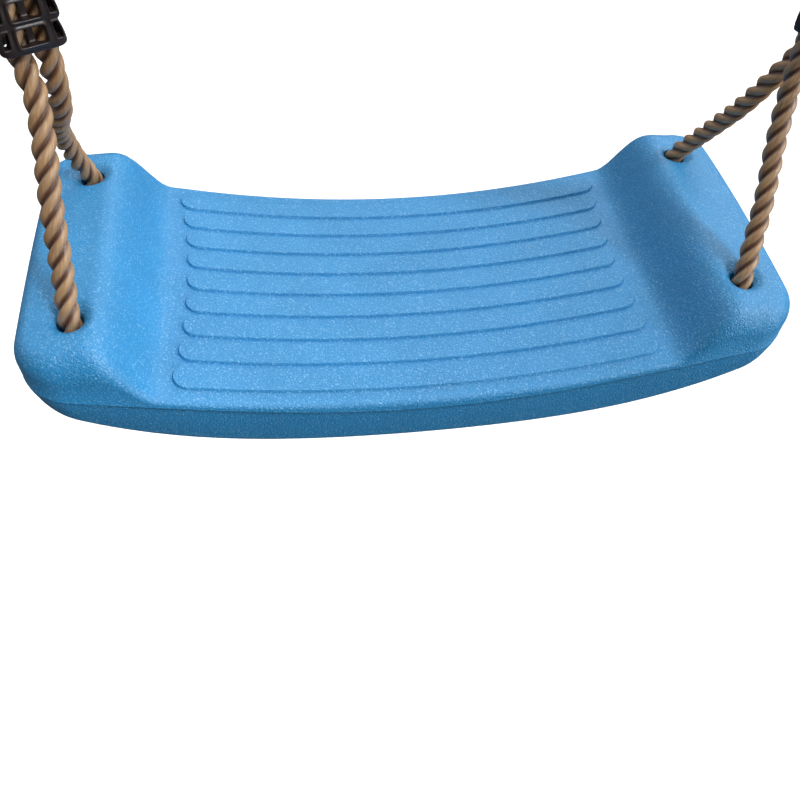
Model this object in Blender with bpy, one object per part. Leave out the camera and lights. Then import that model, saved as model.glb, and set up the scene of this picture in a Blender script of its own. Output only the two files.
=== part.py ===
"""Blow-moulded board swing seat on two rope bridles, each with a sliding length adjuster.

Frame: metres, +X along the seat, +Y to its back edge, +Z up. The origin is on the hanging
axis, midway between the two steel rings, so everything else hangs below it.
"""

import math

import bmesh
import bpy
from mathutils import Vector
from mathutils.geometry import delaunay_2d_cdt

# ---- driving dimensions -------------------------------------------------------------
SEAT_SHIFT = -0.0125  # seat centre along X, measured from midway between the rings
SEAT_DROP = 0.380  # from the hanging axis down to the rims of the rope holes
HALF_LENGTH = 0.2195
HALF_DEPTH = 0.0935
CORNER_RADIUS = 0.026
WALL = 0.0035

PAN_LOW = -0.0491  # heights in the seat are measured from the rims of the rope holes
PAN_RISE = 0.782
PAN_CROWN = 0.200
PAD_HIGH = 0.0042
PAD_RIDGE_X = 0.180
PAD_TILT = 0.07
PAD_CROWN = 0.41
FOOT_X = 0.1465
SHOULDER_X = 0.1775
PINCH = 0.25

PARTING_LOW = -0.0583
PARTING_RISE = (1.02, -6.5)
UNDER_LOW = -0.0875
UNDER_RISE = (0.54, 12.8)

BAR_COUNT = 9
BAR_PITCH = 0.0190
BAR_WIDTH = 0.0165
BAR_HEIGHT = 0.0020
BAR_SHOULDER = 0.0012
BAR_HALF_LENGTH = 0.1376
BAR_BOW = 1.02

HOLE_X = 0.190
HOLE_Y = 0.0605
TUNNEL_RADIUS = 0.00725
DIMPLE_DEPTH = 0.0032
DIMPLE_INNER = 0.006
DIMPLE_OUTER = 0.016
VENT_RADIUS = 0.003

ROPE_RADIUS = 0.006
ROPE_POINTS = 76

ADJUSTER_X = 0.1945
ADJUSTER_BOTTOM = {"left": -0.2626, "right": -0.2580}
ADJUSTER_TURN = {"left": 28.0, "right": 52.0}
LOBE_COUNT = 4
LOBE_PITCH = 0.0117
LOBE_BASE = 0.0008
LOBE_WIDE = 0.0152
LOBE_NARROW = 0.0138
BODY_HALF_DEPTH = 0.0088
WINDOW_MIDDLE = 0.0084
WINDOW_HALF = (0.0064, 0.0040)
ROPE_SPACING = 0.0124
CHANNEL_RADIUS = 0.0063

RING_RADIUS = 0.018
RING_WIRE = 0.003
EYE_RADIUS = 0.010
EYE_CENTRE_Z = -0.005
EYE_TIP_Z = -0.040
THIMBLE_WALL = 0.0022
THIMBLE_HALF_WIDTH = 0.0072
FERRULE_TOP = -0.0560
FERRULE_BOTTOM = -0.0780
FERRULE_WALL = 0.0022
KNOT_RADIUS = 0.0165
KNOT_HALF_HEIGHT = 0.0170
KNOT_TAIL = 0.011  # rope end standing out of the knot
KNOT_AWAY = 0.0178  # from midway between the two ropes to the knot's axis
KNOT_RISE = 0.0213  # from the top of the parallel stretch to the knot
EYE_SLACK = 0.0012  # between the thimble's groove and the rope
GAP = 0.0003

SIDES = {"left": -1.0, "right": 1.0}

# Points that each rope passes between its adjuster and the holes, chosen by hand: x, y and z in
# millimetres in the seat's own frame (x from the seat's centre, z from the rims of the holes).
LEGS = {
    "left": {
        "front": [(-185, -8, 98), (-185, -18, 81), (-187, -35, 53), (-189, -51, 18)],
        "back": [(-193, 56, 14), (-194, 45, 38), (-190, 28, 58), (-182, 14, 77), (-178, 6, 97)],
    },
    "right": {
        "front": [(203, -9, 92), (201, -20, 66), (198, -37, 38), (193, -52, 15)],
        "back": [(194, 52, 16), (198, 38, 38), (201, 24, 60), (205, 12, 85), (210, 6, 105)],
    },
}
UNDER_RUN_Z = -0.0465
UNDER_BEND = 0.024
PARALLEL_TOP = 0.232  # the two ropes stay parallel up to here, above the adjuster


# ---- seat surface -------------------------------------------------------------------
def smoothstep(t):
    t = min(max(t, 0.0), 1.0)
    return t * t * (3.0 - 2.0 * t)


def pad_share(x, y):
    """0 on the pan, 1 on the raised end pads, with soft bends at the foot and the ridge."""
    t = (abs(x) - FOOT_X - PINCH * y * y) / (SHOULDER_X - FOOT_X)
    t = min(max(t, 0.0), 1.0)
    return t ** 3 * (t * (6.0 * t - 15.0) + 10.0)


def top_height(x, y):
    """Height of the seat's upper skin, without its bars."""
    pan = PAN_LOW + PAN_RISE * x * x - PAN_CROWN * y * y
    pad = PAD_HIGH - PAD_TILT * (abs(x) - PAD_RIDGE_X) - PAD_CROWN * y * y
    share = pad_share(x, y)
    height = pan + (pad - pan) * share
    radius = math.hypot(abs(x) - HOLE_X, abs(y) - HOLE_Y)
    fade = smoothstep((radius - DIMPLE_INNER) / (DIMPLE_OUTER - DIMPLE_INNER))
    return height - DIMPLE_DEPTH * (1.0 - fade)


def parting_height(x):
    return PARTING_LOW + PARTING_RISE[0] * x * x + PARTING_RISE[1] * x ** 4


def under_height(x):
    return UNDER_LOW + UNDER_RISE[0] * x * x + UNDER_RISE[1] * x ** 4


def plan_ring(inset, long_xs, short_ys, corner_steps):
    """Rounded rectangle in plan, inset from the parting line: a list of (x, y, outward normal)."""
    radius = CORNER_RADIUS - inset
    half_x = HALF_LENGTH - CORNER_RADIUS
    half_y = HALF_DEPTH - CORNER_RADIUS
    ring = []
    for quarter in range(4):
        start = math.radians(90.0 * quarter - 90.0)
        normal = (round(math.cos(start)), round(math.sin(start)))
        stations = long_xs if quarter % 2 == 0 else short_ys
        span = half_x if quarter % 2 == 0 else half_y
        for share in stations:
            along = share * span
            tangent = (-normal[1], normal[0])
            x = normal[0] * (half_x + radius) + tangent[0] * along
            y = normal[1] * (half_y + radius) + tangent[1] * along
            ring.append((x, y, normal))
        corner_x = half_x * (normal[0] - normal[1])
        corner_y = half_y * (normal[1] + normal[0])
        for step in range(1, corner_steps):
            angle = start + math.radians(90.0) * step / corner_steps
            turn = (math.cos(angle), math.sin(angle))
            ring.append((corner_x + radius * turn[0], corner_y + radius * turn[1], turn))
    return ring


def edge_size(x, y, normal):
    """How far the upper edge's rounding reaches inward and down at a point of the outline."""
    end = abs(normal[0])
    share = smoothstep((abs(x) - FOOT_X) / (SHOULDER_X - FOOT_X))
    inward = (0.006 + 0.010 * share) * (1.0 - end) + 0.010 * end
    down = (0.006 + 0.013 * share) * (1.0 - end) + 0.013 * end
    return inward, down


def seat_body(name, skin, long_xs, short_ys, corner_steps, round_steps, spots, creases):
    """Closed body of the seat, its skin moved inward by a wall thickness: rings joined to two caps."""
    outline = plan_ring(skin, long_xs, short_ys, corner_steps)
    rings = []
    for step in range(round_steps + 1):  # from the underside's edge up to the parting line
        angle = math.radians(90.0) * step / round_steps
        inset = skin + 0.001 + 0.004 * (1.0 - math.sin(angle))
        rise = skin + 0.004 * (1.0 - math.cos(angle))
        ring = plan_ring(inset, long_xs, short_ys, corner_steps)
        rings.append([Vector((x, y, under_height(x) + rise)) for x, y, _ in ring])
    rings.append([Vector((x, y, parting_height(x))) for x, y, _ in outline])
    shell_drop = skin * 1.6
    upper = []
    for step in range(round_steps + 1):
        angle = math.radians(90.0) * step / round_steps
        ring = []
        for x, y, normal in outline:
            inward, down = edge_size(x, y, normal)
            inner = (x - normal[0] * inward, y - normal[1] * inward)
            crest = top_height(*inner) - shell_drop
            back = inward * (1.0 - math.cos(angle))
            ring.append(Vector((x - normal[0] * back, y - normal[1] * back,
                                crest - down * (1.0 - math.sin(angle)))))
        upper.append(ring)
    rings += upper

    mesh = bmesh.new()
    layers = [[mesh.verts.new(point) for point in ring] for ring in rings]
    count = len(outline)
    for low, high in zip(layers, layers[1:]):
        for index in range(count):
            after = (index + 1) % count
            mesh.faces.new((low[index], low[after], high[after], high[index]))
    cap(mesh, layers[-1], spots, creases, lambda x, y: top_height(x, y) - shell_drop, True)
    cap(mesh, layers[0], [spot for spot in spots if len(spot) == 2], [],
        lambda x, y: under_height(x) + skin, False)
    return to_object(name, mesh)


def cap(mesh, rim, spots, creases, height, upward):
    """Fill a rim with triangles through the given plan points, at the given height."""
    points = [Vector((vertex.co.x, vertex.co.y)) for vertex in rim]
    edges = [(index, (index + 1) % len(rim)) for index in range(len(rim))]
    lifts = {}
    reach = min(abs(point.y) for point in points[:3]) - 0.003
    ends = max(point.x for point in points) - 0.003
    for spot in spots:
        if abs(spot[1]) < reach and abs(spot[0]) < ends:
            points.append(Vector((spot[0], spot[1])))
    for loop, lift in creases:
        first = len(points)
        for x, y in loop:
            lifts[len(points)] = lift
            points.append(Vector((x, y)))
        edges += [(first + index, first + (index + 1) % len(loop)) for index in range(len(loop))]
    flat, _, faces, sources, _, _ = delaunay_2d_cdt(points, edges, [], 1, 1e-7)
    made = []
    for index, point in enumerate(flat):
        source = sources[index][0] if sources[index] else -1
        if 0 <= source < len(rim):
            made.append(rim[source])
        else:
            level = height(point.x, point.y) + lifts.get(source, 0.0)
            made.append(mesh.verts.new((point.x, point.y, level)))
    for face in faces:
        corners = [made[index] for index in face]
        turn = (corners[1].co - corners[0].co).cross(corners[2].co - corners[0].co).z
        mesh.faces.new(corners if (turn > 0) == upward else corners[::-1])


def bar_outline(row, shrink, cap_steps, straight_steps):
    """Stadium outline of one anti-slip bar, shrunk inward by a shoulder."""
    centre = (row - (BAR_COUNT - 1) / 2.0) * BAR_PITCH
    radius = BAR_WIDTH / 2.0
    tip = BAR_HALF_LENGTH + BAR_BOW * centre * centre
    reach = tip - radius
    loop = []
    for side in (1.0, -1.0):
        for step in range(cap_steps + 1):
            angle = math.radians(-90.0 + 180.0 * step / cap_steps)
            loop.append((side * (reach + (radius - shrink) * math.cos(angle)),
                         centre + side * (radius - shrink) * math.sin(angle)))
        for step in range(1, straight_steps):
            along = side * (reach - 2.0 * reach * step / straight_steps)
            loop.append((along, centre + side * (radius - shrink)))
    return loop


# ---- rope routes --------------------------------------------------------------------
def bridge_point(x, y, z):
    """A point of the seat's frame, in the part's frame."""
    return Vector((x + SEAT_SHIFT, y, z - SEAT_DROP))


def channel_offset(name):
    """From the adjuster's centre to its rear rope channel."""
    turn = math.radians(ADJUSTER_TURN[name])
    return Vector((math.cos(turn), math.sin(turn), 0.0)) * (ROPE_SPACING / 2.0)


def rope_route(name):
    """Points that the rope passes through, from its short end at the ferrule to its knot."""
    side = SIDES[name]
    centre = Vector((side * ADJUSTER_X, 0.0, 0.0))
    offset = channel_offset(name)
    route = []
    for y, z in ((6.2, -84), (6.2, -74), (6.2, -62), (6.2, -54), (6.9, -46.5), (11.0, -35),
                 (15.0, -23), (18.6, -12)):
        route.append(centre + Vector((0.0, y, z)) / 1000.0)
    for step in range(9):
        angle = math.radians(180.0 * step / 8)
        radius = EYE_RADIUS + THIMBLE_WALL + ROPE_RADIUS + EYE_SLACK
        route.append(centre + Vector((0.0, radius * math.cos(angle),
                                      EYE_CENTRE_Z + radius * math.sin(angle))))
    for y, z in ((-18.6, -12), (-15.0, -23), (-11.0, -35), (-6.9, -46.5), (-6.2, -54), (-6.2, -62),
                 (-6.2, -74), (-6.2, -82)):
        route.append(centre + Vector((0.0, y, z)) / 1000.0)
    top = PARALLEL_TOP - SEAT_DROP
    route.append(centre + Vector((-offset.x * 0.55, -0.0062 * 0.45 - offset.y * 0.55, (top - 0.082) / 2.0)))
    low = ADJUSTER_BOTTOM[name]
    for height in (top, top - 0.008, top - 0.04, low, low - 0.006):
        route.append(centre - offset + Vector((0.0, 0.0, height)))
    for x, y, z in LEGS[name]["front"]:
        route.append(bridge_point(x / 1000.0, y / 1000.0, z / 1000.0))
    hole = side * HOLE_X
    bend = UNDER_BEND
    lowest = UNDER_RUN_Z
    down = [(-HOLE_Y, 0.0), (-HOLE_Y - 0.0014, -0.012), (-HOLE_Y - 0.0014, lowest + bend)]
    centre_y = -HOLE_Y - 0.0014 + bend
    for angle in (25.0, 50.0, 75.0, 90.0):
        turn = math.radians(angle)
        down.append((centre_y - bend * math.cos(turn), lowest + bend - bend * math.sin(turn)))
    for y, z in down + [(0.0, lowest)] + [(-y, z) for y, z in reversed(down)]:
        route.append(bridge_point(hole, y, z))
    for x, y, z in LEGS[name]["back"]:
        route.append(bridge_point(x / 1000.0, y / 1000.0, z / 1000.0))
    for height in (low - 0.004, low, top - 0.04, top - 0.028, top - 0.018):
        route.append(centre + offset + Vector((0.0, 0.0, height)))
    away = offset.normalized()
    for out, height in ((0.0069, -0.0124), (0.0088, -0.0071), (0.0120, -0.0023), (0.0152, 0.0024),
                        (0.0171, 0.0077), (KNOT_AWAY, 0.0133), (KNOT_AWAY, KNOT_RISE)):
        route.append(centre + away * out + Vector((0.0, 0.0, top + height)))
    return route


def knot_centre(name):
    away = channel_offset(name).normalized()
    height = PARALLEL_TOP - SEAT_DROP + KNOT_RISE + KNOT_HALF_HEIGHT
    return Vector((SIDES[name] * ADJUSTER_X, 0.0, height)) + away * KNOT_AWAY


def smooth_curve(points, per_span=12):
    """Centripetal Catmull-Rom curve through the points."""
    ends = [points[0] * 2.0 - points[1]] + points + [points[-1] * 2.0 - points[-2]]
    curve = []
    for index in range(1, len(ends) - 2):
        p0, p1, p2, p3 = ends[index - 1:index + 3]
        t1 = (p1 - p0).length ** 0.5
        t2 = t1 + (p2 - p1).length ** 0.5
        t3 = t2 + (p3 - p2).length ** 0.5
        for step in range(per_span):
            t = t1 + (t2 - t1) * step / per_span
            a1 = p0.lerp(p1, t / t1)
            a2 = p1.lerp(p2, (t - t1) / (t2 - t1))
            a3 = p2.lerp(p3, (t - t2) / (t3 - t2))
            b1 = a1.lerp(a2, t / t2)
            b2 = a2.lerp(a3, (t - t1) / (t3 - t1))
            curve.append(b1.lerp(b2, (t - t1) / (t2 - t1)))
    curve.append(points[-1].copy())
    return curve


def even_points(curve, count):
    """The curve resampled to evenly spaced points."""
    lengths = [0.0]
    for before, after in zip(curve, curve[1:]):
        lengths.append(lengths[-1] + (after - before).length)
    spaced = []
    index = 0
    for step in range(count):
        target = lengths[-1] * step / (count - 1)
        while index < len(curve) - 2 and lengths[index + 1] < target:
            index += 1
        share = (target - lengths[index]) / (lengths[index + 1] - lengths[index])
        spaced.append(curve[index].lerp(curve[index + 1], share))
    return spaced


# ---- building helpers ---------------------------------------------------------------
def material(name, colour, roughness, metallic=0.0):
    made = bpy.data.materials.new(name)
    made.use_nodes = True
    shader = made.node_tree.nodes["Principled BSDF"]
    shader.inputs["Base Color"].default_value = (*colour, 1.0)
    shader.inputs["Roughness"].default_value = roughness
    shader.inputs["Metallic"].default_value = metallic
    return made


def to_object(name, mesh):
    data = bpy.data.meshes.new(name)
    mesh.to_mesh(data)
    mesh.free()
    made = bpy.data.objects.new(name, data)
    bpy.context.scene.collection.objects.link(made)
    return made


def finish(made, surface, sharp=35.0):
    made.data.materials.clear()
    made.data.materials.append(surface)
    made.data.shade_smooth()
    made.data.set_sharp_from_angle(angle=math.radians(sharp))


def as_cutter(made):
    made.hide_render = True
    made.display_type = "WIRE"
    return made


def cut(made, cutter):
    change = made.modifiers.new("cut_" + cutter.name, "BOOLEAN")
    change.object = cutter
    change.operation = "DIFFERENCE"
    change.solver = "EXACT"


def apply_modifiers(made):
    """Replace the object's mesh with the one that its modifiers give."""
    graph = bpy.context.evaluated_depsgraph_get()
    shaped = bpy.data.meshes.new_from_object(made.evaluated_get(graph))
    made.modifiers.clear()
    made.data = shaped


def tube(name, points, radius, resolution):
    curve = bpy.data.curves.new(name, "CURVE")
    curve.dimensions = "3D"
    curve.bevel_depth = radius
    curve.bevel_resolution = resolution
    curve.use_fill_caps = True
    curve.render_resolution_u = 0
    spline = curve.splines.new("POLY")
    spline.points.add(len(points) - 1)
    for spot, point in zip(spline.points, points):
        spot.co = (*point, 1.0)
    made = bpy.data.objects.new(name, curve)
    bpy.context.scene.collection.objects.link(made)
    return made


def solid_tube(name, points, radius, resolution):
    """The same tube as a mesh, for cutting with."""
    curve = tube(name + "_line", points, radius, resolution)
    graph = bpy.context.evaluated_depsgraph_get()
    made = bpy.data.objects.new(name, bpy.data.meshes.new_from_object(curve.evaluated_get(graph)))
    bpy.context.scene.collection.objects.link(made)
    bpy.data.objects.remove(curve)
    return as_cutter(made)


def extrude_outline(name, outline, low, high, axis):
    """Solid between two planes: the outline is in x, y for axis 'Z' and in x, z for axis 'Y'."""
    mesh = bmesh.new()
    if axis == "Z":
        near = [mesh.verts.new((u, v, low)) for u, v in outline]
        far = [mesh.verts.new((u, v, high)) for u, v in outline]
    else:
        near = [mesh.verts.new((u, high, v)) for u, v in outline]
        far = [mesh.verts.new((u, low, v)) for u, v in outline]
    count = len(outline)
    mesh.faces.new(near[::-1])
    mesh.faces.new(far)
    for index in range(count):
        after = (index + 1) % count
        mesh.faces.new((near[index], near[after], far[after], far[index]))
    return to_object(name, mesh)


def rounded_box_outline(half_u, half_v, radius, steps):
    outline = []
    for quarter in range(4):
        angle = math.radians(90.0 * quarter)
        centre_u = (half_u - radius) * (1.0 if quarter in (0, 3) else -1.0)
        centre_v = (half_v - radius) * (1.0 if quarter in (0, 1) else -1.0)
        for step in range(steps + 1):
            turn = angle + math.radians(90.0) * step / steps
            outline.append((centre_u + radius * math.cos(turn), centre_v + radius * math.sin(turn)))
    return outline


def stadium_outline(half_length, radius, steps):
    outline = []
    for side in (1.0, -1.0):
        for step in range(steps + 1):
            angle = math.radians(-90.0 + 180.0 * step / steps)
            outline.append((side * (half_length - radius + radius * math.cos(angle)),
                            side * radius * math.sin(angle)))
    return outline


# ---- sub-parts ----------------------------------------------------------------------
def build_seat(parent, surface):
    half_x = HALF_LENGTH - CORNER_RADIUS
    marks = (0.0, 0.034, 0.068, 0.102, 0.134, 0.149, 0.158, 0.165, 0.172, 0.180, 0.1935)
    long_xs = [-mark / half_x for mark in marks[:0:-1]] + [mark / half_x for mark in marks]
    short_ys = (-1.0, -0.5, 0.0, 0.5, 1.0)
    spots = [(sign * x, y) for x in (0.150, 0.156, 0.162, 0.168, 0.174, 0.180, 0.204)
             for y in (-0.066, -0.044, -0.022, 0.0, 0.022, 0.044, 0.066) for sign in (-1.0, 1.0)
             if x < 0.176 or math.hypot(x - HOLE_X, abs(y) - HOLE_Y) > DIMPLE_OUTER + 0.003]
    for sign_x in (-1.0, 1.0):
        for sign_y in (-1.0, 1.0):
            for radius in (0.0, 0.0085, 0.012, 0.016):
                for step in range(12 if radius else 1):
                    angle = math.radians(30.0 * step)
                    spots.append((sign_x * HOLE_X + radius * math.cos(angle),
                                  sign_y * HOLE_Y + radius * math.sin(angle)))
    creases = []
    for row in range(BAR_COUNT):
        creases.append((bar_outline(row, 0.0, 4, 6), 0.0))
        creases.append((bar_outline(row, BAR_SHOULDER, 4, 6), BAR_HEIGHT))
    seat = seat_body("seat", 0.0, long_xs, short_ys, 6, 3, spots, creases)

    inner_spots = [(x * 0.02, y * 0.02) for x in range(-10, 11) for y in range(-3, 4)]
    inner_spots += [(sign * x, y * 0.02) for x in (0.152, 0.165, 0.172) for y in range(-3, 4)
                    for sign in (-1.0, 1.0)]
    inner_xs = long_xs[::2]
    hollow = seat_body("seat_hollow", WALL, inner_xs, (-1.0, 0.0, 1.0), 3, 1, inner_spots, [])
    as_cutter(hollow)
    walls = []
    bores = []
    for name in SIDES:
        inside = [point for point in smooth_curve(rope_route(name)) if point.z < 0.016 - SEAT_DROP]
        line = [point - bridge_point(0.0, 0.0, 0.0) for point in even_points(inside, 26)]
        walls.append(solid_tube("tunnel_wall_" + name, line, TUNNEL_RADIUS + WALL * 0.9, 2))
        bores.append(solid_tube("tunnel_bore_" + name, line, TUNNEL_RADIUS, 3))
    for wall in walls:
        cut(hollow, wall)
    apply_modifiers(hollow)
    cut(seat, hollow)
    for bore in bores:
        cut(seat, bore)
    vent = extrude_outline("vent_cutter", rounded_box_outline(VENT_RADIUS, VENT_RADIUS, VENT_RADIUS, 3),
                           UNDER_LOW - 0.002, UNDER_LOW + 0.008, "Z")
    cut(seat, as_cutter(vent))
    apply_modifiers(seat)
    for cutter in [vent, hollow] + bores + walls:
        bpy.data.objects.remove(cutter)
    seat.location = bridge_point(0.0, 0.0, 0.0)
    seat.parent = parent
    finish(seat, surface)


def build_adjuster(name, parent, surface):
    """One-piece adjuster: stacked lobes round an open channel, with windows and side pockets."""
    half = [(LOBE_WIDE - 0.0030, 0.0)]
    for lobe in range(LOBE_COUNT):
        base = LOBE_BASE + lobe * LOBE_PITCH
        half += [(LOBE_WIDE, base + 0.0020), (LOBE_WIDE - 0.0004, base + 0.0050),
                 (LOBE_NARROW, base + LOBE_PITCH - 0.0006)]
        if lobe < LOBE_COUNT - 1:
            half.append((LOBE_NARROW, base + LOBE_PITCH + 0.0004))
    top = LOBE_BASE + LOBE_COUNT * LOBE_PITCH + 0.0006
    half.append((LOBE_NARROW - 0.0015, top))
    outline = half + [(-u, v) for u, v in reversed(half)]
    body = extrude_outline("adjuster_" + name, outline, -BODY_HALF_DEPTH, BODY_HALF_DEPTH, "Y")
    bevel = body.modifiers.new("edges", "BEVEL")
    bevel.width = 0.0014
    bevel.segments = 1
    bevel.limit_method = "ANGLE"
    bevel.angle_limit = math.radians(60.0)
    apply_modifiers(body)
    cutters = []
    channel = stadium_outline(ROPE_SPACING / 2.0 + CHANNEL_RADIUS, CHANNEL_RADIUS, 8)
    cutters.append(extrude_outline("channel_cutter", channel, -0.002, top + 0.002, "Z"))
    for lobe in range(LOBE_COUNT):
        middle = lobe * LOBE_PITCH + WINDOW_MIDDLE
        window = [(u, v + middle) for u, v in rounded_box_outline(*WINDOW_HALF, 0.0014, 2)]
        cutters.append(extrude_outline("window_cutter", window, -0.02, 0.02, "Y"))
        for sign in (-1.0, 1.0):
            pocket = [(0.0104, middle - 0.0036), (0.0132, middle - 0.0036), (0.0134, middle - 0.0018),
                      (0.0124, middle + 0.0040), (0.0100, middle + 0.0040)]
            if sign < 0:
                pocket = [(-u, v) for u, v in reversed(pocket)]
            cutters.append(extrude_outline("pocket_cutter", pocket, -0.02, 0.02, "Y"))
    for cutter in cutters:
        cut(body, as_cutter(cutter))
    apply_modifiers(body)
    for cutter in cutters:
        bpy.data.objects.remove(cutter)
    body.location = (SIDES[name] * ADJUSTER_X, 0.0, ADJUSTER_BOTTOM[name])
    body.rotation_euler = (0.0, 0.0, math.radians(ADJUSTER_TURN[name]))
    body.parent = parent
    finish(body, surface)


def eye_outline(offset, steps):
    """Teardrop of the thimble's eye in y, z, grown outward by an offset."""
    radius = EYE_RADIUS + offset
    tip = EYE_TIP_Z - offset * 0.6
    drop = EYE_CENTRE_Z - tip
    lean = math.asin(radius / drop)
    outline = []
    for step in range(steps + 1):
        angle = -lean + (math.pi + 2.0 * lean) * step / steps
        outline.append((radius * math.cos(angle), EYE_CENTRE_Z + radius * math.sin(angle)))
    outline.append((-0.0012, tip))
    outline.append((0.0012, tip))
    return outline


def build_thimble(name, parent, surface):
    """Grooved teardrop that the rope lies round, its section a shallow U open outward."""
    section = ((-THIMBLE_HALF_WIDTH, 0.0), (THIMBLE_HALF_WIDTH, 0.0), (THIMBLE_HALF_WIDTH, 0.0042),
               (THIMBLE_HALF_WIDTH - 0.0009, 0.0042), (0.0042, THIMBLE_WALL), (-0.0042, THIMBLE_WALL),
               (-THIMBLE_HALF_WIDTH + 0.0009, 0.0042), (-THIMBLE_HALF_WIDTH, 0.0042))
    mesh = bmesh.new()
    loops = []
    for across, out in section:
        loops.append([mesh.verts.new((across, y, z)) for y, z in eye_outline(out, 20)])
    count = len(loops[0])
    for index, loop in enumerate(loops):
        follow = loops[(index + 1) % len(loops)]
        for spot in range(count):
            after = (spot + 1) % count
            mesh.faces.new((loop[spot], loop[after], follow[after], follow[spot]))
    bmesh.ops.recalc_face_normals(mesh, faces=mesh.faces)
    made = to_object("thimble_" + name, mesh)
    made.location = (SIDES[name] * ADJUSTER_X, 0.0, 0.0)
    made.parent = parent
    finish(made, surface, 30.0)


def build_ferrule(name, parent, surface):
    """Pressed oval sleeve round the rope's two legs below the eye."""
    made = extrude_outline("ferrule_" + name, stadium_outline(0.0062 + ROPE_RADIUS + GAP + FERRULE_WALL,
                                                              ROPE_RADIUS + GAP + FERRULE_WALL, 8),
                           FERRULE_BOTTOM, FERRULE_TOP, "Z")
    bevel = made.modifiers.new("edges", "BEVEL")
    bevel.width = 0.0012
    bevel.segments = 2
    bevel.limit_method = "ANGLE"
    bevel.angle_limit = math.radians(60.0)
    opening = stadium_outline(0.0062 + ROPE_RADIUS + GAP, ROPE_RADIUS + GAP, 8)
    bore = extrude_outline("ferrule_cutter", opening, FERRULE_BOTTOM - 0.002, FERRULE_TOP + 0.002, "Z")
    cut(made, as_cutter(bore))
    apply_modifiers(made)
    bpy.data.objects.remove(bore)
    made.rotation_euler = (0.0, 0.0, math.radians(90.0))
    made.location = (SIDES[name] * ADJUSTER_X, 0.0, 0.0)
    made.parent = parent
    finish(made, surface)


def build_ring(name, parent, surface):
    """Welded steel ring, upright, its wire running along X where the thimble hangs on it."""
    mesh = bmesh.new()
    steps, sides = 32, 10
    loops = []
    for step in range(steps):
        turn = 2.0 * math.pi * step / steps
        loop = []
        for side in range(sides):
            angle = 2.0 * math.pi * side / sides
            out = RING_RADIUS + RING_WIRE * math.cos(angle)
            loop.append(mesh.verts.new((out * math.sin(turn), RING_WIRE * math.sin(angle),
                                        RING_RADIUS - out * math.cos(turn))))
        loops.append(loop)
    for step, loop in enumerate(loops):
        follow = loops[(step + 1) % steps]
        for side in range(sides):
            after = (side + 1) % sides
            mesh.faces.new((loop[side], loop[after], follow[after], follow[side]))
    bmesh.ops.recalc_face_normals(mesh, faces=mesh.faces)
    made = to_object("ring_" + name, mesh)
    made.location = (SIDES[name] * ADJUSTER_X, 0.0, 0.0)
    made.parent = parent
    finish(made, surface)


def build_rope(name, parent, surface):
    made = tube("rope_" + name, even_points(smooth_curve(rope_route(name)), ROPE_POINTS), ROPE_RADIUS, 2)
    made.data.materials.append(surface)
    made.parent = parent


def build_knot(name, parent, surface):
    """Stopper knot on the rope's free end, with the short tail that stands out of it."""
    half = KNOT_HALF_HEIGHT
    profile = [(0.0070, -half), (0.0125, -half * 0.78), (0.0158, -half * 0.38), (KNOT_RADIUS, half * 0.05),
               (0.0152, half * 0.48), (0.0112, half * 0.84), (0.0062, half), (0.0058, half + KNOT_TAIL),
               (0.0040, half + KNOT_TAIL + 0.0012)]
    sides = 12
    mesh = bmesh.new()
    loops = []
    for radius, height in profile:
        turns = [2.0 * math.pi * side / sides for side in range(sides)]
        loops.append([mesh.verts.new((radius * math.cos(turn), radius * math.sin(turn), height))
                      for turn in turns])
    for low, high in zip(loops, loops[1:]):
        for side in range(sides):
            after = (side + 1) % sides
            mesh.faces.new((low[side], low[after], high[after], high[side]))
    mesh.faces.new(loops[0][::-1])
    mesh.faces.new(loops[-1])
    made = to_object("stopper_knot_" + name, mesh)
    made.location = knot_centre(name) + Vector((0.0, 0.0, GAP))
    made.parent = parent
    finish(made, surface, 80.0)


def main():
    for old in list(bpy.data.objects):
        bpy.data.objects.remove(old)
    blue = material("blue_plastic", (0.055, 0.26, 0.66), 0.42)
    rope = material("tan_rope", (0.42, 0.29, 0.16), 0.6)
    dark = material("dark_plastic", (0.018, 0.013, 0.013), 0.4)
    black = material("black_thimble_plastic", (0.012, 0.012, 0.013), 0.45)
    steel = material("galvanised_steel", (0.62, 0.63, 0.64), 0.35, 1.0)
    hanger = bpy.data.objects.new("swing_axis", None)
    bpy.context.scene.collection.objects.link(hanger)
    build_seat(hanger, blue)
    for name in SIDES:
        build_adjuster(name, hanger, dark)
        build_thimble(name, hanger, black)
        build_ferrule(name, hanger, steel)
        build_ring(name, None, steel)
        build_rope(name, hanger, rope)
        build_knot(name, hanger, rope)


main()
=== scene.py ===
"""Rope swing seat: the visual model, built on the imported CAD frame.

Metres, +X along the seat, +Y to its back edge, +Z up. The origin is on the hanging axis,
midway between the two steel rings.
"""

import math

import bmesh
import bpy
import numpy as np
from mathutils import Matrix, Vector
from mathutils.geometry import delaunay_2d_cdt


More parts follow.
